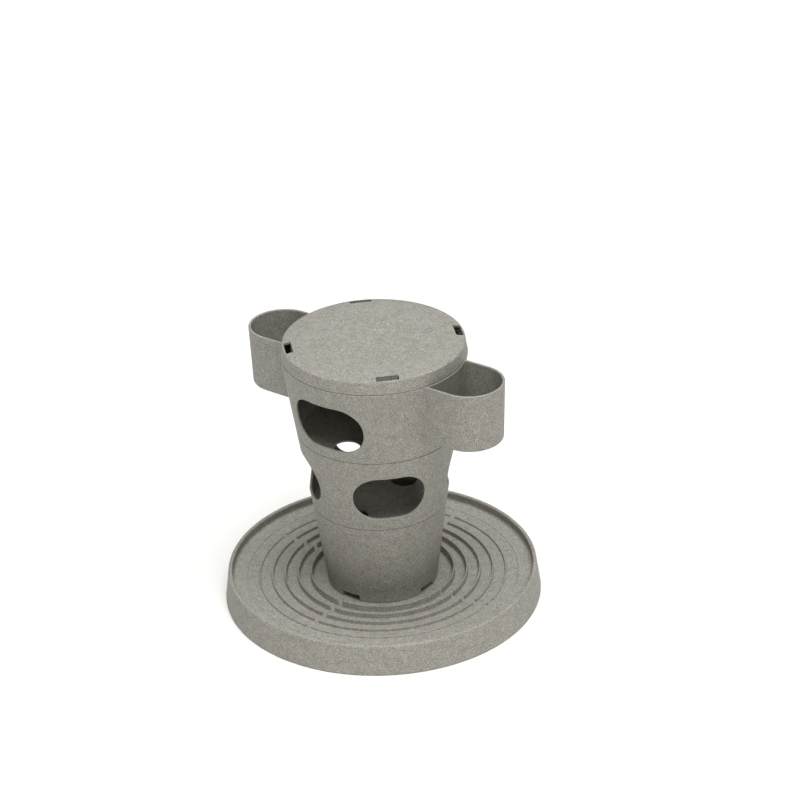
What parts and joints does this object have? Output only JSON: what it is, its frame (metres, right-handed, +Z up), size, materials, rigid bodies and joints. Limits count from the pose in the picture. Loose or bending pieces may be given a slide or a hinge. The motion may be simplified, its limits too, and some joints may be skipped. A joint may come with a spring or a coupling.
{
  "type": "gravity poultry feeder",
  "caption": "Stacking treat tower for hens on a round slow-feeding tray: tapered cups with windows, side pockets and a lift-off lid.",
  "frame": {"origin": "centre of the tray's underside, on the ground", "axes": "+Z up the tower's axis; -Y is the front, where one window of the middle cup faces; the side pockets lie at 45 degrees, towards +X -Y and -X +Y"},
  "size_m": [0.3, 0.3, 0.2688],
  "materials": {
    "fibre_composite": "matt moulded wood-fibre plastic, warm grey with fine dark specks"
  },
  "bodies": {
    "base": {"tray": "fibre_composite"},
    "lower": {"lower_cup": "fibre_composite"},
    "middle": {"middle_cup": "fibre_composite"},
    "upper": {"upper_cup": "fibre_composite"},
    "cover": {"lid": "fibre_composite"}
  },
  "joints": [
    {"name": "lower_cup_turn", "type": "hinge", "parent": "base", "child": "lower", "pos_m": [0, 0, 0.0155], "axis": [0, 0, 1], "range_deg": [0, 22]},
    {"name": "middle_cup_turn", "type": "hinge", "parent": "lower", "child": "middle", "pos_m": [0, 0, 0.101], "axis": [0, 0, 1], "range_deg": [0, 22]},
    {"name": "upper_cup_turn", "type": "hinge", "parent": "middle", "child": "upper", "pos_m": [0, 0, 0.1775], "axis": [0, 0, 1], "range_deg": [0, 22]},
    {"name": "lid_lift", "type": "slide", "parent": "upper", "child": "cover", "axis": [0, 0, 1], "range_m": [0, 0.08]}
  ]
}
